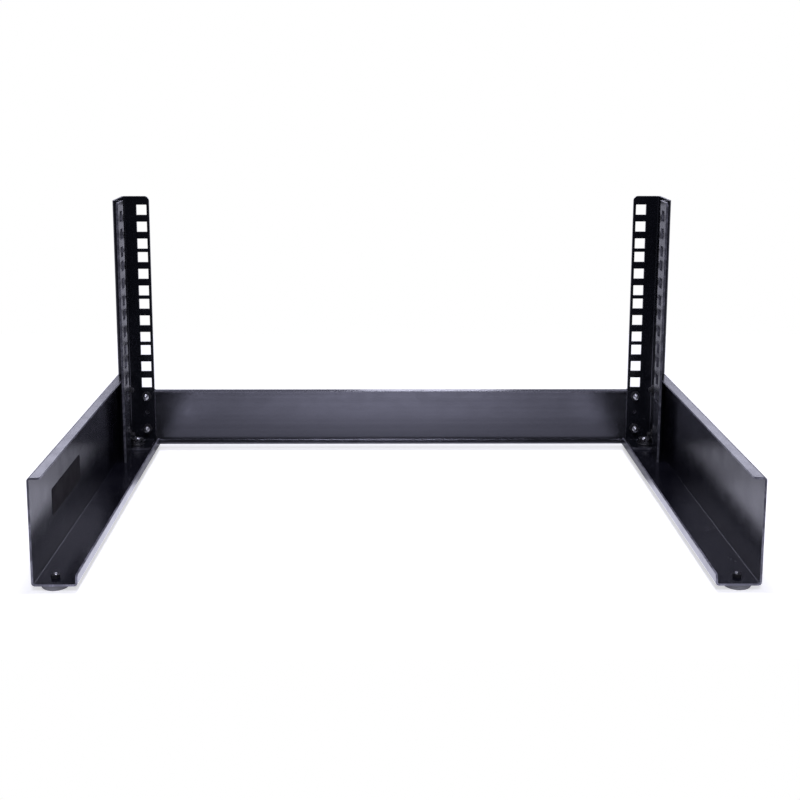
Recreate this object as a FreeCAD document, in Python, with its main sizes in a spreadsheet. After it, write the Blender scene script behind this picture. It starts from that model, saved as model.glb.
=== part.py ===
# Two post open frame rack: two folded side trays on rubber feet, two folded posts with
# square holes, and a channel beam between the posts. Millimetres.
# X runs across the rack, Y runs from the open end of the trays to the posts, Z is up.
# The origin is on the floor, under the middle of the rack.

import FreeCAD, Part
import math
import os
import re
import Sketcher

DRIVING_SIZES = {
    "hole_spacing": 465.1,
    "hole_to_edge": 7.15,
    "square_hole": 9.5,
    "wide_pitch": 15.875,
    "narrow_pitch": 12.7,
    "rack_units": 4,
    "top_margin": 12.7,
    "bolt_row_height": 14.0,
    "flange_width": 25.1,
    "post_sheet": 2.0,
    "post_bend": 1.0,
    "post_depth": 45.0,
    "post_lip": 22.0,
    "post_corner": 4.5,
    "foot_tab": 26.0,
    "pilot_hole": 4.0,
    "side_bolt_setback": 24.0,
    "side_bolt_spacing": 43.0,
    "tray_length": 345.0,
    "tray_height": 78.0,
    "tray_floor": 32.0,
    "tray_lip": 8.0,
    "tray_flange": 9.0,
    "tray_sheet": 1.5,
    "tray_bend": 1.0,
    "tray_corner": 3.0,
    "tray_overhang": 5.5,
    "beam_top_edge": 5.75,
    "beam_flange": 10.0,
    "beam_sheet": 1.5,
    "beam_bend": 1.0,
    "beam_end_gap": 3.0,
    "beam_corner": 3.0,
    "side_gap": 0.5,
    "foot_height": 5.0,
    "foot_top": 22.0,
    "foot_bottom": 19.5,
    "foot_recess": 3.4,
    "foot_recess_width": 12.0,
    "foot_chamfer": 0.8,
    "foot_inset": 13.7,
    "tab_inset": 12.0,
    "foot_from_open_end": 12.5,
    "foot_from_post": 14.0,
    "bolt_clearance": 0.2,
    "thread_clearance": 0.05,
    "frame_bolt": 5.0,
    "frame_head": 9.5,
    "frame_head_height": 2.75,
    "frame_head_chamfer": 1.1,
    "frame_bolt_chamfer": 0.8,
    "frame_nut": 8.0,
    "frame_nut_height": 4.5,
    "frame_nut_chamfer": 0.6,
    "beam_bolt_end": 5.5,
    "side_bolt_end": 3.5,
    "foot_bolt": 3.0,
    "foot_head": 5.7,
    "foot_head_height": 1.7,
    "foot_head_chamfer": 0.7,
    "foot_bolt_chamfer": 0.4,
    "foot_nut": 5.5,
    "foot_nut_height": 2.4,
    "foot_nut_chamfer": 0.4,
    "foot_bolt_end": 1.2,
    "tab_bolt": 6.0,
    "tab_head": 10.5,
    "tab_head_height": 2.8,
    "tab_head_chamfer": 1.2,
    "tab_bolt_chamfer": 0.7,
    "tab_nut": 10.0,
    "tab_nut_height": 5.0,
    "tab_nut_chamfer": 0.8,
    "tab_bolt_end": 0.8,
    "tab_washer": 12.0,
    "tab_washer_height": 1.0,
}

# Places that follow from the driving sizes.
HOLE_X = "(hole_spacing / 2)"
OPENING_X = f"({HOLE_X} - hole_to_edge)"
WEB_X = f"({OPENING_X} + flange_width)"
TRAY_X = f"({WEB_X} + tray_sheet)"
STEP = "(tray_flange - tray_sheet + side_gap + post_sheet)"
UNIT = "(2 * wide_pitch + narrow_pitch)"
POST_HEIGHT = f"(top_margin + rack_units * {UNIT} + 2 * wide_pitch + bolt_row_height)"
UPPER_BOLT = "(bolt_row_height + 2 * wide_pitch)"
BEAM_HEIGHT = f"({UPPER_BOLT} + beam_top_edge)"
FACE_Y = "(tray_length / 2 - tray_overhang)"
FLANGE_Y = f"({FACE_Y} - post_sheet)"
STEP_Y = f"({FACE_Y} - post_depth)"
LIP_Y = f"({STEP_Y} - post_lip)"
BEAM_NEAR_Y = f"({FACE_Y} + beam_sheet - beam_flange)"
BEAM_FAR_Y = f"({FACE_Y} + beam_sheet)"
OPEN_END_Y = "(-tray_length / 2)"
POST_END_Y = "(tray_length / 2)"
FLOOR_TOP = "(foot_height + tray_sheet)"
FOOT_X = f"({TRAY_X} - foot_inset)"
TAB_X = f"({TRAY_X} - tab_inset)"
OPEN_FOOT_Y = f"({OPEN_END_Y} + foot_from_open_end)"
POST_FOOT_Y = f"({FLANGE_Y} - foot_from_post)"
SIDE_BOLT_Y = f"({FACE_Y} - side_bolt_setback)"

PAST = 2.0
SIDES = (("left", -1), ("right", 1))

doc = FreeCAD.newDocument("two_post_rack")
sheet = doc.addObject("Spreadsheet::Sheet", "Sizes")
for row, (alias, size) in enumerate(DRIVING_SIZES.items(), 1):
    sheet.set(f"A{row}", alias.replace("_", " "))
    sheet.set(f"B{row}", str(size))
    sheet.setAlias(f"B{row}", alias)
doc.recompute()


def formula(text):
    # A size named in the text is read from the sheet.
    return re.sub(r"[a-z][a-z_]+", lambda word: "Sizes." + word.group(), str(text))


def value(text):
    return float(sheet.evalExpression(formula(text)))


def bind(item, prop, text):
    item.setExpression(prop, formula(text))


def hole_radius(screw):
    # Bolts and nuts come in three sizes of screw: frame, foot and tab.
    return f"({screw}_bolt / 2 + bolt_clearance)"


def new_body(label):
    body = doc.addObject("PartDesign::Body", label)
    body.Label = label
    return body


def origin_item(body, role):
    return next(item for item in body.Origin.OriginFeatures if item.Role == role)


def new_sketch(body, name, plane, offset=None):
    sketch = body.newObject("Sketcher::SketchObject", name)
    sketch.AttachmentSupport = (origin_item(body, plane + "_Plane"), "")
    sketch.MapMode = "FlatFace"
    if offset is not None:
        bind(sketch, "AttachmentOffset.Base.z", offset)
    return sketch


def pin_point(sketch, element, point, across, along):
    for kind, text in (("DistanceX", across), ("DistanceY", along)):
        number = sketch.addConstraint(Sketcher.Constraint(kind, -1, 1, element, point, value(text)))
        bind(sketch, f"Constraints[{number}]", text)


def draw_outline(sketch, corners):
    # Closed outline of straight edges through corners given as pairs of formulas.
    points = [FreeCAD.Vector(value(across), value(along), 0) for across, along in corners]
    first = sketch.GeometryCount
    for start, end in zip(points, points[1:] + points[:1]):
        sketch.addGeometry(Part.LineSegment(start, end), False)
    for index, (across, along) in enumerate(corners):
        following = first + (index + 1) % len(corners)
        sketch.addConstraint(Sketcher.Constraint("Coincident", first + index, 2, following, 1))
        pin_point(sketch, first + index, 1, across, along)


def draw_rectangle(sketch, low, high):
    draw_outline(sketch, [low, (high[0], low[1]), high, (low[0], high[1])])


def draw_square(sketch, across, along, width):
    low = (f"{across} - {width} / 2", f"{along} - {width} / 2")
    high = (f"{across} + {width} / 2", f"{along} + {width} / 2")
    draw_rectangle(sketch, low, high)


def draw_circle(sketch, across, along, radius):
    centre = FreeCAD.Vector(value(across), value(along), 0)
    upright = FreeCAD.Vector(0, 0, 1)
    number = sketch.addGeometry(Part.Circle(centre, upright, value(radius)), False)
    pin_point(sketch, number, 3, across, along)
    place = sketch.addConstraint(Sketcher.Constraint("Radius", number, value(radius)))
    bind(sketch, f"Constraints[{place}]", radius)


def pad(body, sketch, length, symmetric=False):
    feature = body.newObject("PartDesign::Pad", sketch.Name + "_pad")
    feature.Profile = sketch
    bind(feature, "Length", length)
    if symmetric:
        feature.SideType = "Symmetric"
    doc.recompute()
    return feature


def cut(body, sketch, depth=None):
    # Cut down from the sketch by a depth, or right through on both sides of it.
    before = body.Shape.Volume
    feature = body.newObject("PartDesign::Pocket", sketch.Name + "_cut")
    feature.Profile = sketch
    if depth is None:
        feature.Type = "ThroughAll"
        feature.SideType = "Symmetric"
    else:
        bind(feature, "Length", depth)
    doc.recompute()
    if body.Shape.Volume > before - 0.01:
        raise ValueError(sketch.Name + " cuts nothing")
    return feature


def edges_at(shape, **place):
    # Straight edges that lie all along at the given coordinates.
    found = []
    for number, edge in enumerate(shape.Edges, 1):
        box = edge.BoundBox
        spans = {"x": (box.XMin, box.XMax), "y": (box.YMin, box.YMax), "z": (box.ZMin, box.ZMax)}
        ends = [end for axis in place for end in spans[axis]]
        wanted = [value(text) for text in place.values() for end in range(2)]
        if all(abs(end - target) < 0.001 for end, target in zip(ends, wanted)):
            found.append(f"Edge{number}")
    if not found:
        raise ValueError(f"no edge at {place}")
    return found


def round_edges(body, name, places, radius):
    base = body.Tip
    names = [edge for place in places for edge in edges_at(base.Shape, **place)]
    feature = body.newObject("PartDesign::Fillet", name)
    feature.Base = (base, names)
    bind(feature, "Radius", radius)
    doc.recompute()


def place_body(body, across, along, up, rotation=None):
    if rotation is not None:
        body.Placement.Rotation = rotation
    bind(body, "Placement.Base.x", across)
    bind(body, "Placement.Base.y", along)
    bind(body, "Placement.Base.z", up)


def make_side_tray(name, side):
    # Channel on its side: wall, floor and top flange, with a turned-up lip along the floor.
    body = new_body("side_tray_" + name)
    outer = f"{side} * {TRAY_X}"
    wall_in = f"{side} * ({TRAY_X} - tray_sheet)"
    flange_in = f"{side} * ({TRAY_X} - tray_flange)"
    lip_out = f"{side} * ({TRAY_X} - tray_floor + tray_sheet)"
    lip_in = f"{side} * ({TRAY_X} - tray_floor)"
    profile = new_sketch(body, "tray_profile_" + name, "XZ")
    draw_outline(profile, [
        (outer, "0"), (outer, "tray_height"),
        (flange_in, "tray_height"), (flange_in, "tray_height - tray_sheet"),
        (wall_in, "tray_height - tray_sheet"), (wall_in, "tray_sheet"),
        (lip_out, "tray_sheet"), (lip_out, "tray_lip"),
        (lip_in, "tray_lip"), (lip_in, "0"),
    ])
    pad(body, profile, "tray_length", symmetric=True)
    round_edges(body, "tray_outer_bends_" + name, [
        {"x": outer, "z": "0"}, {"x": outer, "z": "tray_height"}, {"x": lip_in, "z": "0"},
    ], "tray_bend + tray_sheet")
    round_edges(body, "tray_inner_bends_" + name, [
        {"x": wall_in, "z": "tray_sheet"}, {"x": wall_in, "z": "tray_height - tray_sheet"},
        {"x": lip_out, "z": "tray_sheet"},
    ], "tray_bend")

    notch = new_sketch(body, "post_notch_" + name, "XY", "tray_height")
    draw_rectangle(
        notch,
        (wall_in, f"{STEP_Y} - side_gap"),
        (f"{side} * ({TRAY_X} - tray_flange - {PAST})", f"{POST_END_Y} + {PAST}"),
    )
    cut(body, notch, "tray_sheet + tray_bend")
    relief = new_sketch(body, "beam_relief_" + name, "XY", "tray_lip")
    draw_rectangle(
        relief,
        (f"{side} * ({TRAY_X} - tray_floor + tray_sheet + tray_bend)", f"{BEAM_NEAR_Y} - side_gap"),
        (f"{side} * ({TRAY_X} - tray_floor - {PAST})", f"{POST_END_Y} + {PAST}"),
    )
    cut(body, relief, "tray_lip - tray_sheet")

    foot_holes = new_sketch(body, "foot_holes_" + name, "XY")
    for across, along, screw in ((FOOT_X, OPEN_FOOT_Y, "foot"), (TAB_X, POST_FOOT_Y, "tab")):
        draw_circle(foot_holes, f"{side} * {across}", along, hole_radius(screw))
    cut(body, foot_holes)
    side_holes = new_sketch(body, "tray_side_holes_" + name, "YZ")
    for up in ("0", "side_bolt_spacing"):
        height = f"tray_sheet + bolt_row_height + {up}"
        draw_circle(side_holes, SIDE_BOLT_Y, height, hole_radius("frame"))
    cut(body, side_holes)
    round_edges(body, "tray_corners_" + name, [
        {"x": flange_in, "y": OPEN_END_Y},
        {"y": OPEN_END_Y, "z": "tray_lip"},
        {"y": f"{BEAM_NEAR_Y} - side_gap", "z": "tray_lip"},
    ], "tray_corner")
    place_body(body, "0", "0", "foot_height")
    return body


def make_post(name, side):
    # Folded post: mounting flange, web against the tray wall, step past the tray's top
    # flange, and a lip. The square holes repeat for each rack unit in flange and lip.
    body = new_body("post_" + name)
    inner = f"{side} * {OPENING_X}"
    web_out = f"{side} * {WEB_X}"
    web_in = f"{side} * ({WEB_X} - post_sheet)"
    lip_out = f"{side} * ({WEB_X} - {STEP} + post_sheet)"
    lip_in = f"{side} * ({WEB_X} - {STEP})"
    step_far = f"({STEP_Y} + post_sheet)"
    profile = new_sketch(body, "post_profile_" + name, "XY")
    draw_outline(profile, [
        (inner, FACE_Y), (web_out, FACE_Y), (web_out, STEP_Y), (lip_out, STEP_Y),
        (lip_out, LIP_Y), (lip_in, LIP_Y), (lip_in, step_far), (web_in, step_far),
        (web_in, FLANGE_Y), (inner, FLANGE_Y),
    ])
    pad(body, profile, POST_HEIGHT)
    round_edges(body, "post_outer_bends_" + name, [
        {"x": web_out, "y": FACE_Y}, {"x": web_out, "y": STEP_Y}, {"x": lip_in, "y": step_far},
    ], "post_bend + post_sheet")
    round_edges(body, "post_inner_bends_" + name, [
        {"x": web_in, "y": FLANGE_Y}, {"x": web_in, "y": step_far}, {"x": lip_out, "y": STEP_Y},
    ], "post_bend")

    # The flange's foot is turned over the tray floor and held by the foot bolt.
    tab = new_sketch(body, "foot_tab_" + name, "XY")
    tab_in = f"{side} * ({OPENING_X} + post_bend)"
    tab_out = f"{side} * ({WEB_X} - post_sheet - 2 * post_bend)"
    draw_rectangle(tab, (tab_in, f"{FLANGE_Y} - foot_tab"), (tab_out, f"{FLANGE_Y} + post_sheet / 2"))
    pad(body, tab, "post_sheet")
    round_edges(body, "tab_bend_" + name, [{"y": FLANGE_Y, "z": "post_sheet"}], "post_bend")
    round_edges(body, "post_corners_" + name, [
        {"x": inner, "z": POST_HEIGHT}, {"y": LIP_Y, "z": POST_HEIGHT},
        {"x": tab_in, "y": f"{FLANGE_Y} - foot_tab"}, {"x": tab_out, "y": f"{FLANGE_Y} - foot_tab"},
    ], "post_corner")

    steps = ("0", "wide_pitch", "2 * wide_pitch")
    flange_holes = new_sketch(body, "flange_squares_" + name, "XZ")
    lip_holes = new_sketch(body, "lip_squares_" + name, "YZ")
    for down in steps:
        up = f"{POST_HEIGHT} - top_margin - {down}"
        draw_square(flange_holes, f"{side} * {HOLE_X}", up, "square_hole")
        draw_square(lip_holes, f"{LIP_Y} + post_lip / 2", up, "square_hole")
    squares = [cut(body, flange_holes), cut(body, lip_holes)]
    units = body.newObject("PartDesign::LinearPattern", "rack_units_" + name)
    units.Originals = squares
    units.Direction = (origin_item(body, "Z_Axis"), [""])
    units.Reversed = True
    bind(units, "Length", f"(rack_units - 1) * {UNIT}")
    bind(units, "Occurrences", "rack_units")
    body.Tip = units
    doc.recompute()

    bolt_holes = new_sketch(body, "beam_bolt_holes_" + name, "XZ")
    for up in ("bolt_row_height", UPPER_BOLT):
        draw_circle(bolt_holes, f"{side} * {HOLE_X}", up, hole_radius("frame"))
    draw_circle(bolt_holes, f"{side} * {HOLE_X}", "bolt_row_height + wide_pitch", "pilot_hole / 2")
    cut(body, bolt_holes)
    side_holes = new_sketch(body, "post_side_holes_" + name, "YZ")
    for up in ("0", "side_bolt_spacing"):
        draw_circle(side_holes, SIDE_BOLT_Y, f"bolt_row_height + {up}", hole_radius("frame"))
    cut(body, side_holes)
    tab_hole = new_sketch(body, "tab_hole_" + name, "XY", "post_sheet")
    draw_circle(tab_hole, f"{side} * {TAB_X}", POST_FOOT_Y, hole_radius("tab"))
    cut(body, tab_hole, "post_sheet")
    place_body(body, "0", "0", FLOOR_TOP)
    return body


def make_cross_beam():
    # Channel open to the trays. Its web runs on behind the post flanges as two flat ends.
    body = new_body("cross_beam")
    near_web = FACE_Y
    top_under = f"({BEAM_HEIGHT} - beam_sheet)"
    channel = new_sketch(body, "beam_profile", "YZ")
    draw_outline(channel, [
        (BEAM_FAR_Y, "0"), (BEAM_FAR_Y, BEAM_HEIGHT),
        (BEAM_NEAR_Y, BEAM_HEIGHT), (BEAM_NEAR_Y, top_under),
        (near_web, top_under), (near_web, "beam_sheet"),
        (BEAM_NEAR_Y, "beam_sheet"), (BEAM_NEAR_Y, "0"),
    ])
    channel_end = f"({OPENING_X} - side_gap)"
    pad(body, channel, f"2 * {channel_end}", symmetric=True)
    round_edges(body, "beam_outer_bends", [
        {"y": BEAM_FAR_Y, "z": "0"}, {"y": BEAM_FAR_Y, "z": BEAM_HEIGHT},
    ], "beam_bend + beam_sheet")
    round_edges(body, "beam_inner_bends", [
        {"y": near_web, "z": "beam_sheet"}, {"y": near_web, "z": top_under},
    ], "beam_bend")

    end = new_sketch(body, "beam_end", "XY")
    draw_rectangle(end, (channel_end, near_web), (f"{WEB_X} - beam_end_gap", BEAM_FAR_Y))
    end_pad = pad(body, end, BEAM_HEIGHT)
    holes = new_sketch(body, "beam_end_holes", "XZ")
    for up in ("bolt_row_height", UPPER_BOLT):
        draw_circle(holes, HOLE_X, up, hole_radius("frame"))
    hole_cut = cut(body, holes)
    other_end = body.newObject("PartDesign::Mirrored", "beam_other_end")
    other_end.Originals = [end_pad, hole_cut]
    other_end.MirrorPlane = (origin_item(body, "YZ_Plane"), [""])
    body.Tip = other_end
    doc.recompute()
    round_edges(body, "beam_end_corners", [
        {"x": f"{side} * ({WEB_X} - beam_end_gap)", "z": up}
        for name, side in SIDES for up in ("0", BEAM_HEIGHT)
    ], "beam_corner")
    place_body(body, "0", "0", FLOOR_TOP)
    return body


def revolve_outline(body, name, corners):
    sketch = new_sketch(body, name, "XZ")
    draw_outline(sketch, corners)
    feature = body.newObject("PartDesign::Revolution", name + "_turned")
    feature.Profile = sketch
    feature.ReferenceAxis = (sketch, ["V_Axis"])
    doc.recompute()
    return feature


def make_foot(label, screw, across, along):
    # Tapered rubber foot, recessed from below for the bolt head.
    body = new_body(label)
    bore = hole_radius(screw)
    revolve_outline(body, label + "_outline", [
        (bore, "foot_recess"), ("foot_recess_width / 2", "foot_recess"),
        ("foot_recess_width / 2", "0"), ("foot_bottom / 2 - foot_chamfer", "0"),
        ("foot_bottom / 2", "foot_chamfer"), ("foot_top / 2", "foot_height"), (bore, "foot_height"),
    ])
    place_body(body, across, along, "0")
    return body


def make_bolt(label, screw, reach, place, rotation):
    # The head lies below the seat at zero, and the shank rises by its reach.
    body = new_body(label)
    head, under = f"{screw}_head", f"-{screw}_head_height"
    turned_off, worn_off = f"{screw}_head_chamfer", f"{screw}_bolt_chamfer"
    revolve_outline(body, label + "_outline", [
        ("0", under), (f"{head} / 2 - {turned_off}", under),
        (f"{head} / 2", f"{under} + {turned_off}"), (f"{head} / 2", "0"),
        (f"{screw}_bolt / 2", "0"), (f"{screw}_bolt / 2", f"{reach} - {worn_off}"),
        (f"{screw}_bolt / 2 - {worn_off}", reach), ("0", reach),
    ])
    place_body(body, *place, rotation)
    return body


def make_nut(label, screw, place, rotation):
    # Hexagon nut with its corners turned down, seated at zero.
    body = new_body(label)
    width, height = f"{screw}_nut", f"{screw}_nut_height"
    blank = new_sketch(body, label + "_hexagon", "XY")
    corner = f"{width} / {math.sqrt(3)}"
    turns = [math.radians(60 * step) for step in range(6)]
    draw_outline(blank, [(f"{corner} * {math.cos(turn)}", f"{corner} * {math.sin(turn)}") for turn in turns])
    draw_circle(blank, "0", "0", f"{screw}_bolt / 2 + thread_clearance")
    pad(body, blank, height)
    shoulder = new_sketch(body, label + "_shoulder", "XZ")
    outside = f"({corner} + {PAST})"
    slope = f"{screw}_nut_chamfer / ({corner} - {width} / 2) / 2"
    draw_outline(shoulder, [
        (f"{width} / 2", height), (outside, height),
        (outside, f"{height} - ({outside} - {width} / 2) * {slope}"),
    ])
    groove = body.newObject("PartDesign::Groove", label + "_turned_corners")
    groove.Profile = shoulder
    groove.ReferenceAxis = (shoulder, ["V_Axis"])
    doc.recompute()
    place_body(body, *place, rotation)
    return body


def make_washer(label, place):
    body = new_body(label)
    ring = new_sketch(body, label + "_ring", "XY")
    draw_circle(ring, "0", "0", "tab_washer / 2")
    draw_circle(ring, "0", "0", hole_radius("tab"))
    pad(body, ring, "tab_washer_height")
    place_body(body, *place)
    return body


def turned(axis, degrees):
    return FreeCAD.Rotation(FreeCAD.Vector(*axis), degrees)


def make_feet(name, side):
    # Rubber feet under both ends of a tray. The foot bolt by the post also holds its tab.
    parts = []
    ends = (
        ("open_end", "foot", FOOT_X, OPEN_FOOT_Y, FLOOR_TOP),
        ("post_end", "tab", TAB_X, POST_FOOT_Y, f"({FLOOR_TOP} + post_sheet + tab_washer_height)"),
    )
    for end, screw, inset, along, seat in ends:
        label = f"{end}_{name}"
        across = f"{side} * {inset}"
        parts.append(make_foot("foot_" + label, screw, across, along))
        reach = f"({seat} - foot_recess + {screw}_nut_height + {screw}_bolt_end)"
        parts.append(make_bolt("foot_bolt_" + label, screw, reach, (across, along, "foot_recess"), None))
        parts.append(make_nut("foot_nut_" + label, screw, (across, along, seat), None))
    washer_place = (f"{side} * {TAB_X}", POST_FOOT_Y, f"{FLOOR_TOP} + post_sheet")
    parts.append(make_washer("foot_washer_" + name, washer_place))
    return parts


def make_beam_fasteners(name, side):
    # Bolts from behind the beam through the post flange, with nuts on the tray side.
    parts = []
    across = f"{side} * {HOLE_X}"
    towards_trays = turned((1, 0, 0), 90)
    reach = "(beam_sheet + post_sheet + frame_nut_height + beam_bolt_end)"
    for level, up in (("lower", "bolt_row_height"), ("upper", UPPER_BOLT)):
        label = f"{level}_{name}"
        height = f"{FLOOR_TOP} + {up}"
        bolt_place = (across, BEAM_FAR_Y, height)
        nut_place = (across, FLANGE_Y, height)
        parts.append(make_bolt("beam_bolt_" + label, "frame", reach, bolt_place, towards_trays))
        parts.append(make_nut("beam_nut_" + label, "frame", nut_place, towards_trays))
    return parts


def make_side_fasteners(name, side):
    # Bolts from outside the tray wall through the post web, with nuts inside.
    parts = []
    inward = turned((0, 1, 0), -90 * side)
    reach = "(tray_sheet + post_sheet + frame_nut_height + side_bolt_end)"
    for level, up in (("lower", "0"), ("upper", "side_bolt_spacing")):
        label = f"{level}_{name}"
        height = f"{FLOOR_TOP} + bolt_row_height + {up}"
        bolt_place = (f"{side} * {TRAY_X}", SIDE_BOLT_Y, height)
        nut_place = (f"{side} * ({WEB_X} - post_sheet)", SIDE_BOLT_Y, height)
        parts.append(make_bolt("side_bolt_" + label, "frame", reach, bolt_place, inward))
        parts.append(make_nut("side_nut_" + label, "frame", nut_place, inward))
    return parts


parts = [make_cross_beam()]
for name, side in SIDES:
    parts.append(make_side_tray(name, side))
    parts.append(make_post(name, side))
    parts.extend(make_feet(name, side))
    parts.extend(make_beam_fasteners(name, side))
    parts.extend(make_side_fasteners(name, side))
doc.recompute()

for item in doc.Objects:
    if "Invalid" in item.State or "Error" in item.State:
        raise ValueError(f"{item.Label} failed: {item.State}")
for part in parts:
    if part.Shape.isNull() or not part.Shape.isValid():
        raise ValueError(f"{part.Label} has no valid shape")

os.makedirs("parts", exist_ok=True)
for part in parts:
    part.Shape.exportStep(f"parts/{part.Label}.step")
    box = part.Shape.BoundBox
    print(f"{part.Label}: {part.Shape.Volume / 1000:.2f} cm3, {len(part.Shape.Solids)} solid,"
          f" x {box.XMin:.1f} to {box.XMax:.1f}, y {box.YMin:.1f} to {box.YMax:.1f},"
          f" z {box.ZMin:.1f} to {box.ZMax:.1f}")
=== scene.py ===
import math
import bmesh
import bpy
from mathutils import Matrix, Vector


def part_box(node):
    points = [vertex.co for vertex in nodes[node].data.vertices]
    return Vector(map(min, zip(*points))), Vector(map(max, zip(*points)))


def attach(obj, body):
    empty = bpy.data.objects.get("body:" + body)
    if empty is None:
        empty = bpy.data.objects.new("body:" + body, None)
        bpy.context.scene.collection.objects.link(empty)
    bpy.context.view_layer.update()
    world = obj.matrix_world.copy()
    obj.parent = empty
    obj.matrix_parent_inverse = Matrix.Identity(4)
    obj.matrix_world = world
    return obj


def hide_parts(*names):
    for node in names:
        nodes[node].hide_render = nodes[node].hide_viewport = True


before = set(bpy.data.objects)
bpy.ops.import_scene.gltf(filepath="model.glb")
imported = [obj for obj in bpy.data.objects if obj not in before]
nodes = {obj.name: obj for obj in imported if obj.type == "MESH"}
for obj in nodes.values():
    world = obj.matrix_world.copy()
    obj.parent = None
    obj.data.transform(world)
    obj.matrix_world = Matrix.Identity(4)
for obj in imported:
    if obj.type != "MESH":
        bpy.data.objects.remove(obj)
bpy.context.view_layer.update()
scene = bpy.context.scene
sides = {"left": -1, "right": 1}
print("frame loaded:", len(nodes), "nodes")


# small helpers for node trees
def addNode(tree, kind, **settings):
    node = tree.nodes.new(kind)
    for key, setting in settings.items():
        setattr(node, key, setting)
    return node


def feed(tree, socket, source):
    # a socket takes a link or a plain value
    if isinstance(source, bpy.types.NodeSocket):
        tree.links.new(source, socket)
    else:
        socket.default_value = source


def addMath(tree, operation, first, second=0.0, clamp=False):
    node = addNode(tree, "ShaderNodeMath", operation=operation, use_clamp=clamp)
    feed(tree, node.inputs[0], first)
    feed(tree, node.inputs[1], second)
    return node.outputs[0]


def addScaled(tree, base, extra, share, clamp=False):
    # base plus a share of something else
    return addMath(tree, "ADD", base, addMath(tree, "MULTIPLY", extra, share), clamp)


def addNoise(tree, vector, scale, detail, roughness):
    node = addNode(tree, "ShaderNodeTexNoise")
    feed(tree, node.inputs["Vector"], vector)
    feed(tree, node.inputs["Scale"], scale)
    feed(tree, node.inputs["Detail"], detail)
    feed(tree, node.inputs["Roughness"], roughness)
    return node.outputs["Fac"]


def addRange(tree, source, low, high, toLow=0.0, toHigh=1.0):
    node = addNode(tree, "ShaderNodeMapRange", interpolation_type="SMOOTHSTEP")
    for name, value in (("Value", source), ("From Min", low), ("From Max", high),
                        ("To Min", toLow), ("To Max", toHigh)):
        feed(tree, node.inputs[name], value)
    return node.outputs["Result"]


def addMix(tree, factor, first, second):
    node = addNode(tree, "ShaderNodeMix", data_type="RGBA")
    feed(tree, node.inputs[0], factor)
    feed(tree, node.inputs[6], first)
    feed(tree, node.inputs[7], second)
    return node.outputs[2]


def startGroup(name, inputs, outputs):
    tree = bpy.data.node_groups.new(name, "ShaderNodeTree")
    for label, kind, value in inputs:
        socket = tree.interface.new_socket(name=label, in_out="INPUT", socket_type="NodeSocket" + kind)
        if value is not None:
            socket.default_value = value
    for label in outputs:
        tree.interface.new_socket(name=label, in_out="OUTPUT", socket_type="NodeSocketFloat")
    return tree, tree.nodes.new("NodeGroupInput").outputs, tree.nodes.new("NodeGroupOutput").inputs


def placeGroup(tree, group, **values):
    node = addNode(tree, "ShaderNodeGroup", node_tree=group)
    for label, value in values.items():
        feed(tree, node.inputs[label], value)
    return node.outputs


# effects that several finishes share
# a noise is given as scale, detail and roughness, less the scale where that is an input
powderValues = {
    "peel": 650.0, "peelNoise": (2.0, 0.45), "peelShare": 0.7,
    "grain": 3200.0, "grainNoise": (1.0, 0.5), "grainShare": 0.3,
    "tone": (9.0, 3.0, 0.55), "toneRange": (0.3, 0.7),
    "gloss": (55.0, 4.0, 0.6), "glossRange": (0.3, 0.72),
}


def makePowderSkin():
    # orange peel and fine grain of baked powder
    values = powderValues
    tree, given, made = startGroup("powderSkin", [
        ("Vector", "Vector", None), ("Peel", "Float", values["peel"]), ("Grain", "Float", values["grain"]),
    ], ["Height", "Tone", "Gloss"])
    peel = addNoise(tree, given["Vector"], given["Peel"], *values["peelNoise"])
    grain = addNoise(tree, given["Vector"], given["Grain"], *values["grainNoise"])
    peel = addMath(tree, "MULTIPLY", peel, values["peelShare"])
    feed(tree, made["Height"], addScaled(tree, peel, grain, values["grainShare"]))
    tone = addNoise(tree, given["Vector"], *values["tone"])
    feed(tree, made["Tone"], addRange(tree, tone, *values["toneRange"]))
    gloss = addNoise(tree, given["Vector"], *values["gloss"])
    feed(tree, made["Gloss"], addRange(tree, gloss, *values["glossRange"]))
    return tree


streakValues = {
    "fine": (1.0, 3.0, 0.6), "fineShare": 0.6, "wide": (0.22, 1.0, 0.5), "wideShare": 0.4,
    "range": (0.36, 0.66), "hairs": 6.0, "hairNoise": (2.0, 0.6),
}


def makeRollStreaks():
    # faint lines that the rolled sheet keeps under its paint
    values = streakValues
    tree, given, made = startGroup("rollStreaks", [
        ("Vector", "Vector", None), ("Stretch", "Vector", (1.0, 1.0, 1.0)),
        ("Hairs", "Float", values["hairs"]),
    ], ["Streak", "Hair"])
    stretched = addNode(tree, "ShaderNodeVectorMath", operation="MULTIPLY")
    feed(tree, stretched.inputs[0], given["Vector"])
    feed(tree, stretched.inputs[1], given["Stretch"])
    fine = addNoise(tree, stretched.outputs[0], *values["fine"])
    wide = addNoise(tree, stretched.outputs[0], *values["wide"])
    blend = addScaled(tree, addMath(tree, "MULTIPLY", fine, values["fineShare"]), wide, values["wideShare"])
    feed(tree, made["Streak"], addRange(tree, blend, *values["range"]))
    hair = addNoise(tree, stretched.outputs[0], given["Hairs"], *values["hairNoise"])
    feed(tree, made["Hair"], hair)
    return tree


wearAndHighlightValues = {
    "patch": 120.0, "patchNoise": (4.0, 0.62), "patchRange": (0.38, 0.64), "amount": 0.5,
    "nicks": (900.0, 2.0, 0.5), "nickRange": (0.35, 0.7), "nickLeast": 0.5, "least": 0.35,
}


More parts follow.
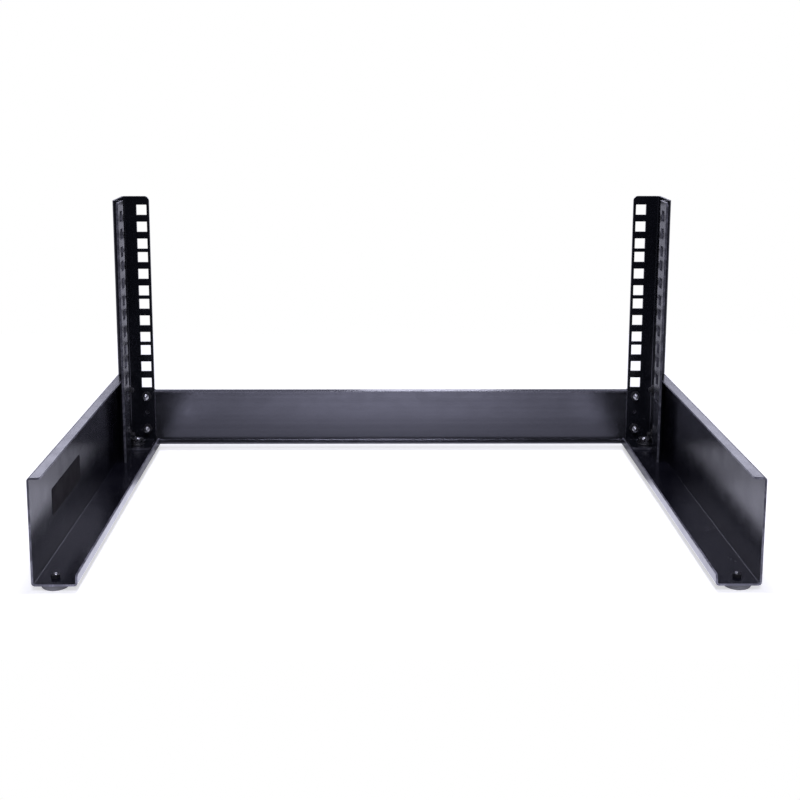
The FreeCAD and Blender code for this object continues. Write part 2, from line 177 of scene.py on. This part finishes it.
def makeEdgeWearAndHighlight():
    # edges where the coat has thinned, with a painted highlight along them, broken up along their length
    values = wearAndHighlightValues
    tree, given, made = startGroup("edgeWearAndHighlight", [
        ("Vector", "Vector", None), ("Edge", "Float", 0.0), ("Patch", "Float", values["patch"]),
        ("Amount", "Float", values["amount"]),
    ], ["Mask"])
    patches = addNoise(tree, given["Vector"], given["Patch"], *values["patchNoise"])
    patches = addRange(tree, patches, *values["patchRange"])
    nicks = addNoise(tree, given["Vector"], *values["nicks"])
    nicks = addRange(tree, nicks, *values["nickRange"], values["nickLeast"], 1.0)
    wornAndHighlit = addMath(tree, "MULTIPLY", patches, nicks)
    lifted = addRange(tree, wornAndHighlit, 0.0, 1.0, values["least"], 1.0)
    strength = addMath(tree, "MULTIPLY", given["Edge"], given["Amount"])
    feed(tree, made["Mask"], addMath(tree, "MULTIPLY", lifted, strength, True))
    return tree


dustValues = {
    "amount": 0.3, "upRange": (0.55, 0.98),
    "cloud": (28.0, 5.0, 0.65), "cloudRange": (0.38, 0.72), "cloudShare": 0.6,
    "specks": (1500.0, 1.0, 0.5), "speckRange": (0.6, 0.74), "speckShare": 0.5,
}


def makeDustFall():
    # a little dust on what faces up
    values = dustValues
    tree, given, made = startGroup("dustFall", [
        ("Vector", "Vector", None), ("Amount", "Float", values["amount"]),
    ], ["Mask"])
    facing = addNode(tree, "ShaderNodeSeparateXYZ")
    tree.links.new(addNode(tree, "ShaderNodeNewGeometry").outputs["Normal"], facing.inputs[0])
    up = addRange(tree, facing.outputs["Z"], *values["upRange"])
    cloud = addRange(tree, addNoise(tree, given["Vector"], *values["cloud"]), *values["cloudRange"])
    specks = addRange(tree, addNoise(tree, given["Vector"], *values["specks"]), *values["speckRange"])
    cloud = addMath(tree, "MULTIPLY", cloud, values["cloudShare"])
    settled = addMath(tree, "MULTIPLY", addScaled(tree, cloud, specks, values["speckShare"]), up)
    feed(tree, made["Mask"], addMath(tree, "MULTIPLY", settled, given["Amount"], True))
    return tree


platedValues = {
    "mottle": 420.0, "mottleNoise": (3.0, 0.6), "toneRange": (0.35, 0.65),
    "marks": (5200.0, 1.0, 0.5), "gloss": (900.0, 2.0, 0.5), "glossRange": (0.35, 0.65),
}


def makePlatedSkin():
    # soft mottling and fine turning marks
    values = platedValues
    tree, given, made = startGroup("platedSkin", [
        ("Vector", "Vector", None), ("Mottle", "Float", values["mottle"]),
    ], ["Height", "Tone", "Gloss"])
    mottle = addNoise(tree, given["Vector"], given["Mottle"], *values["mottleNoise"])
    feed(tree, made["Height"], addNoise(tree, given["Vector"], *values["marks"]))
    feed(tree, made["Tone"], addRange(tree, mottle, *values["toneRange"]))
    gloss = addNoise(tree, given["Vector"], *values["gloss"])
    feed(tree, made["Gloss"], addRange(tree, gloss, *values["glossRange"]))
    return tree


mouldedValues = {
    "pebble": 1400.0, "pebbleNoise": (2.0, 0.6), "bloom": (130.0, 4.0, 0.6), "bloomRange": (0.42, 0.7),
}


def makeRubberSkin():
    # fine pebble and a faint bloom
    values = mouldedValues
    tree, given, made = startGroup("rubberSkin", [
        ("Vector", "Vector", None), ("Pebble", "Float", values["pebble"]),
    ], ["Height", "Bloom"])
    pebble = addNoise(tree, given["Vector"], given["Pebble"], *values["pebbleNoise"])
    feed(tree, made["Height"], pebble)
    bloom = addNoise(tree, given["Vector"], *values["bloom"])
    feed(tree, made["Bloom"], addRange(tree, bloom, *values["bloomRange"]))
    return tree


powderSkin = makePowderSkin()
rollStreaks = makeRollStreaks()
edgeWearAndHighlight = makeEdgeWearAndHighlight()
dustFall = makeDustFall()
platedSkin = makePlatedSkin()
rubberSkin = makeRubberSkin()
print("shared effects made")


def startFinish(name):
    material = bpy.data.materials.new(name)
    material.use_nodes = True
    tree = material.node_tree
    shader = tree.nodes["Principled BSDF"]
    place = addNode(tree, "ShaderNodeTexCoord").outputs["Object"]
    edge = addNode(tree, "ShaderNodeAttribute", attribute_name="edgeRim").outputs["Fac"]
    return material, tree, shader, place, edge


def addBump(tree, shader, height, depth, strength):
    # goes on top of the relief that the shader already has
    bump = addNode(tree, "ShaderNodeBump")
    feed(tree, bump.inputs["Height"], height)
    feed(tree, bump.inputs["Distance"], depth)
    feed(tree, bump.inputs["Strength"], strength)
    if shader.inputs["Normal"].is_linked:
        tree.links.new(shader.inputs["Normal"].links[0].from_socket, bump.inputs["Normal"])
    tree.links.new(bump.outputs["Normal"], shader.inputs["Normal"])


paintValues = {
    "tray": {"stretch": (260.0, 4.0, 260.0), "streaks": 0.25, "wearAndHighlight": 1.0, "dust": 0.05, "hair": 0.0,
             "deep": (0.0028, 0.0028, 0.0052, 1.0), "lifted": (0.0048, 0.0048, 0.0086, 1.0),
             "streaked": (0.0072, 0.0072, 0.0118, 1.0), "specular": 0.5, "ior": 1.5},
    "post": {"stretch": (260.0, 260.0, 4.0), "streaks": 0.2, "wearAndHighlight": 0.5, "dust": 0.03, "hair": 0.0,
             "deep": (0.0034, 0.0038, 0.0054, 1.0), "lifted": (0.0056, 0.0062, 0.0086, 1.0),
             "streaked": (0.008, 0.0085, 0.012, 1.0), "specular": 0.5, "ior": 1.5},
    "beam": {"stretch": (0.9, 520.0, 520.0), "streaks": 0.9, "wearAndHighlight": 0.18, "dust": 0.03, "hair": 0.14,
             "deep": (0.0055, 0.0057, 0.0068, 1.0), "lifted": (0.0085, 0.0088, 0.0102, 1.0),
             "streaked": (0.03, 0.031, 0.034, 1.0), "specular": 1.0, "ior": 1.55},
    # the worn-edge colour is light and lavender: worn paint plus a painted highlight along the edges
    "wornAndHighlit": (0.30, 0.297, 0.345, 1.0), "dusty": (0.10, 0.10, 0.11, 1.0),
    "roughLow": 0.22, "roughHigh": 0.27, "streakRough": -0.05, "wearAndHighlightRough": 0.2, "dustRough": 0.25,
    "peelDepth": 0.00012, "peelStrength": 0.035, "streakRelief": 0.35, "hairDepth": 0.0002,
    "coat": 0.12, "coatRough": 0.2, "tint": (0.85, 0.85, 1.0, 1.0),
}


def makePaint(name, kind):
    shared, own = paintValues, paintValues[kind]
    material, tree, shader, place, edge = startFinish(name)
    skin = placeGroup(tree, powderSkin, Vector=place)
    rolled = placeGroup(tree, rollStreaks, Vector=place, Stretch=own["stretch"])
    streak = addMath(tree, "MULTIPLY", rolled["Streak"], own["streaks"])
    wearAndHighlight = placeGroup(tree, edgeWearAndHighlight, Vector=place, Edge=edge, Amount=own["wearAndHighlight"])["Mask"]
    dust = placeGroup(tree, dustFall, Vector=place, Amount=own["dust"])["Mask"]
    shade = addMix(tree, skin["Tone"], own["deep"], own["lifted"])
    shade = addMix(tree, streak, shade, own["streaked"])
    # worn edges, lightened further by a painted highlight
    shade = addMix(tree, wearAndHighlight, shade, shared["wornAndHighlit"])
    shade = addMix(tree, dust, shade, shared["dusty"])
    feed(tree, shader.inputs["Base Color"], shade)
    rough = addRange(tree, skin["Gloss"], 0.0, 1.0, shared["roughLow"], shared["roughHigh"])
    rough = addScaled(tree, rough, streak, shared["streakRough"])
    rough = addScaled(tree, rough, wearAndHighlight, shared["wearAndHighlightRough"])
    rough = addScaled(tree, rough, dust, shared["dustRough"], True)
    feed(tree, shader.inputs["Roughness"], rough)
    shader.inputs["IOR"].default_value = own["ior"]
    shader.inputs["Specular IOR Level"].default_value = own["specular"]
    shader.inputs["Specular Tint"].default_value = shared["tint"]
    shader.inputs["Coat Weight"].default_value = shared["coat"]
    shader.inputs["Coat Roughness"].default_value = shared["coatRough"]
    relief = addScaled(tree, skin["Height"], streak, shared["streakRelief"])
    addBump(tree, shader, relief, shared["peelDepth"], shared["peelStrength"])
    if own["hair"]:
        # fine lines along the beam spread a highlight up and down, not along
        addBump(tree, shader, rolled["Hair"], shared["hairDepth"], own["hair"])
    return material


zincValues = {
    "bright": (0.74, 0.74, 0.76, 1.0), "dull": (0.52, 0.52, 0.54, 1.0),
    "worn": (0.82, 0.82, 0.83, 1.0),
    "roughLow": 0.2, "roughHigh": 0.36, "depth": 0.00002, "strength": 0.3,
    "metallic": 1.0, "patch": 500.0, "wearAndHighlight": 0.3,
}
oxideValues = {
    "bright": (0.018, 0.018, 0.020, 1.0), "dull": (0.008, 0.008, 0.009, 1.0),
    "worn": (0.16, 0.155, 0.15, 1.0),
    "roughLow": 0.3, "roughHigh": 0.48, "depth": 0.00003, "strength": 0.35,
    "metallic": 0.0, "patch": 500.0, "wearAndHighlight": 0.5,
}


def makePlated(name, values):
    material, tree, shader, place, edge = startFinish(name)
    skin = placeGroup(tree, platedSkin, Vector=place)
    wearAndHighlight = placeGroup(tree, edgeWearAndHighlight, Vector=place, Edge=edge, Patch=values["patch"],
                     Amount=values["wearAndHighlight"])["Mask"]
    shade = addMix(tree, skin["Tone"], values["bright"], values["dull"])
    feed(tree, shader.inputs["Base Color"], addMix(tree, wearAndHighlight, shade, values["worn"]))
    rough = addRange(tree, skin["Gloss"], 0.0, 1.0, values["roughLow"], values["roughHigh"])
    feed(tree, shader.inputs["Roughness"], rough)
    shader.inputs["Metallic"].default_value = values["metallic"]
    addBump(tree, shader, skin["Height"], values["depth"], values["strength"])
    return material


rubberValues = {
    "dark": (0.175, 0.174, 0.179, 1.0), "bloomed": (0.23, 0.228, 0.236, 1.0),
    "scuffed": (0.28, 0.278, 0.286, 1.0),
    "roughLow": 0.62, "roughHigh": 0.8, "depth": 0.00008, "strength": 0.45,
    "patch": 260.0, "wearAndHighlight": 0.6,
}


def makeRubber(name):
    values = rubberValues
    material, tree, shader, place, edge = startFinish(name)
    skin = placeGroup(tree, rubberSkin, Vector=place)
    wearAndHighlight = placeGroup(tree, edgeWearAndHighlight, Vector=place, Edge=edge, Patch=values["patch"],
                     Amount=values["wearAndHighlight"])["Mask"]
    shade = addMix(tree, skin["Bloom"], values["dark"], values["bloomed"])
    feed(tree, shader.inputs["Base Color"], addMix(tree, wearAndHighlight, shade, values["scuffed"]))
    rough = addRange(tree, skin["Bloom"], 0.0, 1.0, values["roughLow"], values["roughHigh"])
    feed(tree, shader.inputs["Roughness"], rough)
    addBump(tree, shader, skin["Height"], values["depth"], values["strength"])
    return material


labelFilmValues = {
    "black": (0.0095, 0.008, 0.010, 1.0), "faded": (0.0135, 0.0115, 0.014, 1.0),
    "edge": (0.03, 0.028, 0.032, 1.0), "roughLow": 0.62, "roughHigh": 0.72, "specular": 0.08,
    "peel": 1500.0, "depth": 0.00003, "strength": 0.2,
}


def makeLabelFilm(name):
    values = labelFilmValues
    material, tree, shader, place, edge = startFinish(name)
    skin = placeGroup(tree, powderSkin, Vector=place, Peel=values["peel"])
    shade = addMix(tree, skin["Tone"], values["black"], values["faded"])
    feed(tree, shader.inputs["Base Color"], addMix(tree, edge, shade, values["edge"]))
    rough = addRange(tree, skin["Gloss"], 0.0, 1.0, values["roughLow"], values["roughHigh"])
    feed(tree, shader.inputs["Roughness"], rough)
    shader.inputs["Specular IOR Level"].default_value = values["specular"]
    addBump(tree, shader, skin["Height"], values["depth"], values["strength"])
    return material


finishes = {
    "tray": makePaint("trayPaint", "tray"),
    "post": makePaint("postPaint", "post"),
    "beam": makePaint("beamPaint", "beam"),
    "zinc": makePlated("zincPlate", zincValues),
    "oxide": makePlated("blackOxide", oxideValues),
    "rubber": makeRubber("footRubber"),
    "label": makeLabelFilm("labelFilm"),
}
print("finishes made:", len(finishes))


pieceValues = {"sharpAngle": math.radians(34), "body": "root"}


def showPiece(bm, name, finish, replaced=None):
    mesh = bpy.data.meshes.new(name)
    bm.to_mesh(mesh)
    bm.free()
    mesh.shade_smooth()
    mesh.set_sharp_from_angle(angle=pieceValues["sharpAngle"])
    mesh.materials.append(finishes[finish])
    piece = bpy.data.objects.new(name, mesh)
    scene.collection.objects.link(piece)
    smooth = piece.modifiers.new("evenNormals", "WEIGHTED_NORMAL")
    smooth.keep_sharp = True
    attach(piece, pieceValues["body"])
    if replaced:
        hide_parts(replaced)
    return piece


copyValues = {
    "mergeGap": 0.000002, "flatAngle": math.radians(0.4), "edgeAngle": math.radians(28),
    "thin": 0.0023, "cutShare": 0.9,
    "sheet": {"width": 0.0004, "segments": 3}, "foot": {"width": 0.0005, "segments": 3},
    "nut": {"width": 0.00014, "segments": 2}, "washer": {"width": 0.00018, "segments": 2},
}


def makeCopy(node, kind, finish, name):
    # the solid's own shape, with its sharp edges eased as paint or moulding leaves them
    values = copyValues[kind]
    bm = bmesh.new()
    bm.from_mesh(nodes[node].data)
    bmesh.ops.remove_doubles(bm, verts=bm.verts, dist=copyValues["mergeGap"])
    bmesh.ops.dissolve_limit(bm, angle_limit=copyValues["flatAngle"], verts=bm.verts, edges=bm.edges)
    rim = bm.faces.layers.float.new("edgeRim")
    sharp = [e for e in bm.edges if e.is_manifold and e.calc_face_angle() > copyValues["edgeAngle"]]
    if kind == "sheet":
        # the cut edges of the sheet are thin faces with a corner all round
        corners = set(sharp)
        for face in bm.faces:
            thin = 2 * face.calc_area() / face.calc_perimeter() < copyValues["thin"]
            if thin and all(e in corners for e in face.edges if e.calc_length() > copyValues["thin"]):
                # cut faces take most of the edge mask: worn paint plus a painted highlight
                face[rim] = copyValues["cutShare"]
    eased = bmesh.ops.bevel(bm, geom=sharp, offset=values["width"], offset_type="OFFSET", affect="EDGES",
                            segments=values["segments"], profile=0.5, material=-1, clamp_overlap=True)
    # the eased faces take the mask for worn edges and their painted highlight
    for face in eased["faces"]:
        face[rim] = 1.0
    return showPiece(bm, name, finish, node)


for side in sides:
    makeCopy("side_tray_" + side, "sheet", "tray", "painted_side_tray_" + side)
    makeCopy("post_" + side, "sheet", "post", "painted_post_" + side)
makeCopy("cross_beam", "sheet", "beam", "painted_cross_beam")
print("sheet metal dressed")

for side in sides:
    for end, finish, slot in (("open_end", "oxide", "nut_black"), ("post_end", "zinc", "nut_zinc")):
        makeCopy(f"foot_{end}_{side}", "foot", "rubber", f"rubber_foot_{end}_{side}")
        makeCopy(f"foot_nut_{end}_{side}", "nut", finish, f"hex_nut_foot_{end}_{side}")
    makeCopy("foot_washer_" + side, "washer", "oxide", "plain_washer_" + side)
    for kind in ("beam", "side"):
        for level in ("lower", "upper"):
            nut = f"{kind}_nut_{level}_{side}"
            makeCopy(nut, "nut", "oxide", f"hex_nut_{kind}_{level}_{side}")
print("feet, nuts and washers dressed")


screwValues = {
    "frame": {"size": 0.005, "head": 0.0095, "headHeight": 0.00275, "headFlat": 0.006, "socket": 0.003,
              "pitch": 0.0008, "threadDepth": 0.00034, "tipChamfer": 0.0007},
    "foot": {"size": 0.003, "head": 0.0057, "headHeight": 0.0017, "headFlat": 0.0036, "socket": 0.002,
             "pitch": 0.0005, "threadDepth": 0.00025, "tipChamfer": 0.0003},
    "tab": {"size": 0.006, "head": 0.0105, "headHeight": 0.0028, "headFlat": 0.0066, "socket": 0.004,
            "pitch": 0.001, "threadDepth": 0.00042, "tipChamfer": 0.0006},
    "headSide": 0.0007, "domeSteps": 6, "around": 48, "socketSides": 6, "socketDepth": 0.0014,
    "threadFill": 0.9, "threadAround": 24, "threadStart": 0.0018, "rootSink": 0.00004,
    "tipLand": 0.0003,
}


def spinOutline(bm, points, steps):
    # points are pairs of radius and height
    chain = [bm.verts.new((radius, 0.0, height)) for radius, height in points]
    edges = [bm.edges.new(pair) for pair in zip(chain, chain[1:])]
    bmesh.ops.spin(bm, geom=chain + edges, cent=(0, 0, 0), axis=(0, 0, 1), angle=math.tau,
                   steps=steps, use_merge=True)


def makeThread(bm, own, start, end):
    # one closed ridge along the helix, its root inside the core
    around = screwValues["threadAround"]
    radius = own["size"] / 2
    root = radius - own["threadDepth"] - screwValues["rootSink"]
    half = own["pitch"] * screwValues["threadFill"] / 2
    corners = [bm.verts.new((root, 0.0, start - half)), bm.verts.new((radius, 0.0, start)),
               bm.verts.new((root, 0.0, start + half))]
    ring = [bm.edges.new((corners[i], corners[(i + 1) % 3])) for i in range(3)]
    turns = (end - start) / own["pitch"]
    steps = round(turns * around)
    bmesh.ops.contextual_create(bm, geom=ring)
    ends = bmesh.ops.spin(bm, geom=ring, cent=(0, 0, 0), axis=(0, 0, 1), angle=math.tau * turns,
                          dvec=(0, 0, (end - start) / steps), steps=steps)["geom_last"]
    bmesh.ops.contextual_create(bm, geom=[e for e in ends if isinstance(e, bmesh.types.BMEdge)])


def makeScrew(node, name, kind, axis, finish):
    # button head with a six-sided socket; the seat is at zero and the head lies below it
    shared, own = screwValues, screwValues[kind]
    low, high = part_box(node)
    length = max(high - low) - own["headHeight"]
    core = own["size"] / 2 - own["threadDepth"]
    headRadius = own["head"] / 2
    flat = own["headFlat"] / 2
    bm = bmesh.new()
    dome = []
    for step in range(shared["domeSteps"] + 1):
        turn = math.radians(90) * step / shared["domeSteps"]
        dome.append((flat + (headRadius - flat) * math.sin(turn),
                     -shared["headSide"] - (own["headHeight"] - shared["headSide"]) * math.cos(turn)))
    tipRadius = core - own["tipChamfer"]
    spinOutline(bm, dome + [(headRadius, 0.0), (core, 0.0), (core, length - own["tipChamfer"]),
                            (tipRadius, length - shared["tipLand"] / 2),
                            (tipRadius - shared["tipLand"], length)], shared["around"])
    tip = [e for e in bm.edges if e.is_boundary and e.verts[0].co.z > 0]
    bmesh.ops.contextual_create(bm, geom=tip)
    rim = [e for e in bm.edges if e.is_boundary]
    turnFlat = Matrix.Translation((0, 0, -own["headHeight"]))
    corner = own["socket"] / math.sqrt(3)
    mouth = bmesh.ops.create_circle(bm, segments=shared["socketSides"], radius=corner,
                                    matrix=turnFlat)["verts"]
    mouthEdges = list({e for v in mouth for e in v.link_edges})
    bmesh.ops.subdivide_edges(bm, edges=mouthEdges, cuts=shared["around"] // shared["socketSides"] - 1)
    mouthEdges = [e for e in bm.edges if e.is_wire]
    bmesh.ops.bridge_loops(bm, edges=rim + mouthEdges)
    wall = bmesh.ops.extrude_edge_only(bm, edges=mouthEdges)["geom"]
    floorVerts = [v for v in wall if isinstance(v, bmesh.types.BMVert)]
    bmesh.ops.translate(bm, verts=floorVerts, vec=(0, 0, shared["socketDepth"]))
    bmesh.ops.contextual_create(bm, geom=[e for e in wall if isinstance(e, bmesh.types.BMEdge)])
    bmesh.ops.recalc_face_normals(bm, faces=bm.faces)
    makeThread(bm, own, shared["threadStart"], length - own["tipChamfer"] - own["pitch"] / 2)
    bmesh.ops.recalc_face_normals(bm, faces=bm.faces)
    direction = Vector(axis)
    turn = Vector((0, 0, 1)).rotation_difference(direction).to_matrix().to_4x4()
    seat = (low + high) / 2 - direction * (length - own["headHeight"]) / 2
    bmesh.ops.transform(bm, matrix=Matrix.Translation(seat) @ turn, verts=bm.verts)
    return showPiece(bm, name, finish, node)


for side, sign in sides.items():
    for end, kind in (("open_end", "foot"), ("post_end", "tab")):
        screw = f"foot_bolt_{end}_{side}"
        makeScrew(screw, f"socket_screw_foot_{end}_{side}", kind, (0, 0, 1), "zinc")
    for level in ("lower", "upper"):
        screw = f"beam_bolt_{level}_{side}"
        makeScrew(screw, f"socket_screw_beam_{level}_{side}", "frame", (0, -1, 0), "zinc")
        screw = f"side_bolt_{level}_{side}"
        makeScrew(screw, f"socket_screw_side_{level}_{side}", "frame", (-sign, 0, 0), "oxide")
print("screws made")


labelValues = {
    "length": 0.084, "height": 0.020, "thick": 0.0003, "along": -0.0735, "rise": 0.0405,
    "corner": 0.0012, "cornerSteps": 6, "rim": 0.00008, "rimSteps": 2, "border": 0.0008,
    "sheet": 0.0015, "facing": 0.99,
}


def makeLabel():
    # a bare plate, stuck flat on the inside of the left wall
    values = labelValues
    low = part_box("side_tray_left")[0]
    wall = low.x + values["sheet"]
    bm = bmesh.new()
    bmesh.ops.create_cube(bm, size=1.0)
    bmesh.ops.scale(bm, vec=(values["thick"], values["length"], values["height"]), verts=bm.verts)
    upright = [e for e in bm.edges if abs(e.verts[0].co.x - e.verts[1].co.x) > values["thick"] / 2]
    bmesh.ops.bevel(bm, geom=upright, offset=values["corner"], offset_type="OFFSET", affect="EDGES",
                    segments=values["cornerSteps"], profile=0.5, material=-1)
    rim = bm.faces.layers.float.new("edgeRim")
    front = [f for f in bm.faces if f.normal.x > values["facing"]]
    eased = bmesh.ops.bevel(bm, geom=[e for f in front for e in f.edges], offset=values["rim"],
                            offset_type="OFFSET", affect="EDGES", segments=values["rimSteps"],
                            profile=0.5, material=-1)
    for face in eased["faces"]:
        face[rim] = 1.0
    front = [f for f in bm.faces if f.normal.x > values["facing"]]
    bmesh.ops.inset_region(bm, faces=front, thickness=values["border"], depth=0.0)
    bmesh.ops.inset_region(bm, faces=front, thickness=values["rim"], depth=-values["rim"] / 2)
    middle = (wall + values["thick"] / 2, values["along"], low.z + values["rise"])
    bmesh.ops.translate(bm, verts=bm.verts, vec=middle)
    return showPiece(bm, "blank_label_plate", "label")


makeLabel()
print("label plate made")


stageValues = {
    "floorLow": (-1.1, -0.27), "floorHigh": (1.1, 0.7), "floorColor": (0.88, 0.88, 0.88, 1.0),
    "floorRough": 0.7, "seenLift": 0.57,
    "poolLift": 1.55, "poolStretch": (3.4, 5.0, 0.0), "poolShift": (0.0, 0.25, 0.0),
    "besideLift": 1.5, "besideIn": (0.2, 0.21), "besideOut": (0.24, 0.26), "besideBack": (0.04, 0.08),
    "white": (1.0, 1.0, 1.0, 1.0), "ambient": 0.26, "cool": (0.84, 0.84, 1.0, 1.0),
    "roomBack": (0.2, 0.2, 0.27, 1.0), "roomFront": (0.03, 0.03, 0.036, 1.0),
    "roomBelow": (0.7, 0.7, 0.84, 1.0), "belowRange": (-0.04, 0.04), "frontRange": (-0.6, 0.1),
}
lampValues = {
    "overhead": {"place": (0.0, 0.0, 1.5), "aim": (0.0, 0.0, 0.0), "wide": 0.4, "deep": 0.3,
                 "power": 9.0},
    "front": {"place": (0.0, -1.2, 1.0), "aim": (0.0, 0.0, 0.05), "wide": 0.25, "deep": 0.3,
              "power": 8.5},
    "backMiddle": {"place": (0.12, 2.0, 0.53), "aim": (0.0, 0.17, 0.06), "wide": 0.34, "deep": 0.16,
                   "power": 0.7},
    "backHigh": {"place": (0.0, 2.0, 0.9), "aim": (0.0, 0.0, 0.05), "wide": 0.3, "deep": 0.18,
                 "power": 0.65},
    "backLeft": {"place": (-0.9, 2.0, 0.84), "aim": (-0.24, 0.0, 0.08), "wide": 0.5, "deep": 0.5,
                 "power": 2.1},
    "backRight": {"place": (0.9, 2.0, 0.84), "aim": (0.24, 0.0, 0.08), "wide": 0.5, "deep": 0.5,
                  "power": 2.1},
}


def makeFloor():
    values = stageValues
    low, high = values["floorLow"], values["floorHigh"]
    bm = bmesh.new()
    bmesh.ops.create_grid(bm, x_segments=1, y_segments=1, size=0.5)
    bmesh.ops.scale(bm, vec=(high[0] - low[0], high[1] - low[1], 1.0), verts=bm.verts)
    bmesh.ops.translate(bm, vec=((low[0] + high[0]) / 2, (low[1] + high[1]) / 2, 0.0), verts=bm.verts)
    mesh = bpy.data.meshes.new("paleFloor")
    bm.to_mesh(mesh)
    bm.free()
    material = bpy.data.materials.new("floorPaper")
    material.use_nodes = True
    tree = material.node_tree
    shader = tree.nodes["Principled BSDF"]
    shader.inputs["Base Color"].default_value = values["floorColor"]
    shader.inputs["Roughness"].default_value = values["floorRough"]
    rays = addNode(tree, "ShaderNodeLightPath").outputs
    mirrored = addMath(tree, "ADD", rays["Is Glossy Ray"], rays["Is Transmission Ray"], True)
    place = addNode(tree, "ShaderNodeTexCoord").outputs["Object"]
    # in reflections the floor glows as a painted pool of light, brightest in the middle and along the trays
    shaped = addNode(tree, "ShaderNodeVectorMath", operation="MULTIPLY_ADD")
    tree.links.new(place, shaped.inputs[0])
    shaped.inputs[1].default_value = values["poolStretch"]
    shaped.inputs[2].default_value = values["poolShift"]
    away = addNode(tree, "ShaderNodeVectorMath", operation="LENGTH")
    tree.links.new(shaped.outputs[0], away.inputs[0])
    pool = addRange(tree, away.outputs["Value"], 0.0, 1.0, values["poolLift"], 0.0)
    split = addNode(tree, "ShaderNodeSeparateXYZ")
    tree.links.new(place, split.inputs[0])
    across = addMath(tree, "ABSOLUTE", split.outputs["X"])
    inside = addRange(tree, across, *values["besideIn"])
    outside = addRange(tree, across, *values["besideOut"], 1.0, 0.0)
    front = addRange(tree, split.outputs["Y"], *values["besideBack"], 1.0, 0.0)
    beside = addMath(tree, "MULTIPLY", addMath(tree, "MULTIPLY", inside, outside), front)
    beside = addMath(tree, "MULTIPLY", beside, values["besideLift"])
    pool = addMath(tree, "MAXIMUM", pool, beside)
    lift = addMath(tree, "ADD", addMath(tree, "MULTIPLY", rays["Is Camera Ray"], values["seenLift"]),
                   addMath(tree, "MULTIPLY", mirrored, pool))
    glow = addNode(tree, "ShaderNodeEmission")
    feed(tree, glow.inputs["Color"], addMix(tree, mirrored, values["white"], values["cool"]))
    feed(tree, glow.inputs["Strength"], lift)
    both = addNode(tree, "ShaderNodeAddShader")
    tree.links.new(shader.outputs[0], both.inputs[0])
    tree.links.new(glow.outputs[0], both.inputs[1])
    tree.links.new(both.outputs[0], tree.nodes["Material Output"].inputs["Surface"])
    mesh.materials.append(material)
    floor = bpy.data.objects.new("paleFloor", mesh)
    scene.collection.objects.link(floor)


def makeWorld():
    # white to the eye; in reflections the room is dim, darkest towards the front
    values = stageValues
    world = bpy.data.worlds.new("studio")
    scene.world = world
    world.use_nodes = True
    tree = world.node_tree
    rays = addNode(tree, "ShaderNodeLightPath").outputs
    split = addNode(tree, "ShaderNodeSeparateXYZ")
    tree.links.new(addNode(tree, "ShaderNodeTexCoord").outputs["Generated"], split.inputs[0])
    below = addRange(tree, split.outputs["Z"], *values["belowRange"], 1.0, 0.0)
    back = addMix(tree, below, values["roomBack"], values["roomBelow"])
    fromFront = addRange(tree, split.outputs["Y"], *values["frontRange"])
    room = addMix(tree, fromFront, values["roomFront"], back)
    mirrored = addMath(tree, "ADD", rays["Is Glossy Ray"], rays["Is Transmission Ray"], True)
    shown = addMix(tree, mirrored, [values["ambient"] * part for part in values["cool"]], room)
    shown = addMix(tree, rays["Is Camera Ray"], shown, values["white"])
    tree.links.new(shown, tree.nodes["Background"].inputs["Color"])


def makeLamp(name, values):
    data = bpy.data.lights.new(name, "AREA")
    data.shape = "RECTANGLE"
    data.size = values["wide"]
    data.size_y = values["deep"]
    data.energy = values["power"]
    data.color = stageValues["cool"][:3]
    lamp = bpy.data.objects.new(name, data)
    scene.collection.objects.link(lamp)
    lamp.location = values["place"]
    lamp.rotation_euler = (Vector(values["aim"]) - lamp.location).to_track_quat("-Z", "Y").to_euler()


makeFloor()
makeWorld()
for name, values in lampValues.items():
    makeLamp(name + "Lamp", values)

cameraValues = {
    "place": (-0.01415, -0.97788, 0.35051), "pitch": -0.1619, "turn": -0.0032,
    "lens": 55.49, "sensor": 36.0, "shiftAcross": 0.0249, "shiftUp": -0.15, "near": 0.01, "far": 50.0,
}


def makeCamera():
    values = cameraValues
    data = bpy.data.cameras.new("photoView")
    data.sensor_width = values["sensor"]
    data.lens = values["lens"]
    data.shift_x = values["shiftAcross"]
    data.shift_y = values["shiftUp"]
    data.clip_start = values["near"]
    data.clip_end = values["far"]
    camera = bpy.data.objects.new("photoView", data)
    scene.collection.objects.link(camera)
    camera.location = values["place"]
    camera.rotation_euler = (math.pi / 2 + values["pitch"], 0.0, values["turn"])
    scene.camera = camera


makeCamera()
scene.view_settings.view_transform = "Standard"
print("stage, light and camera made")
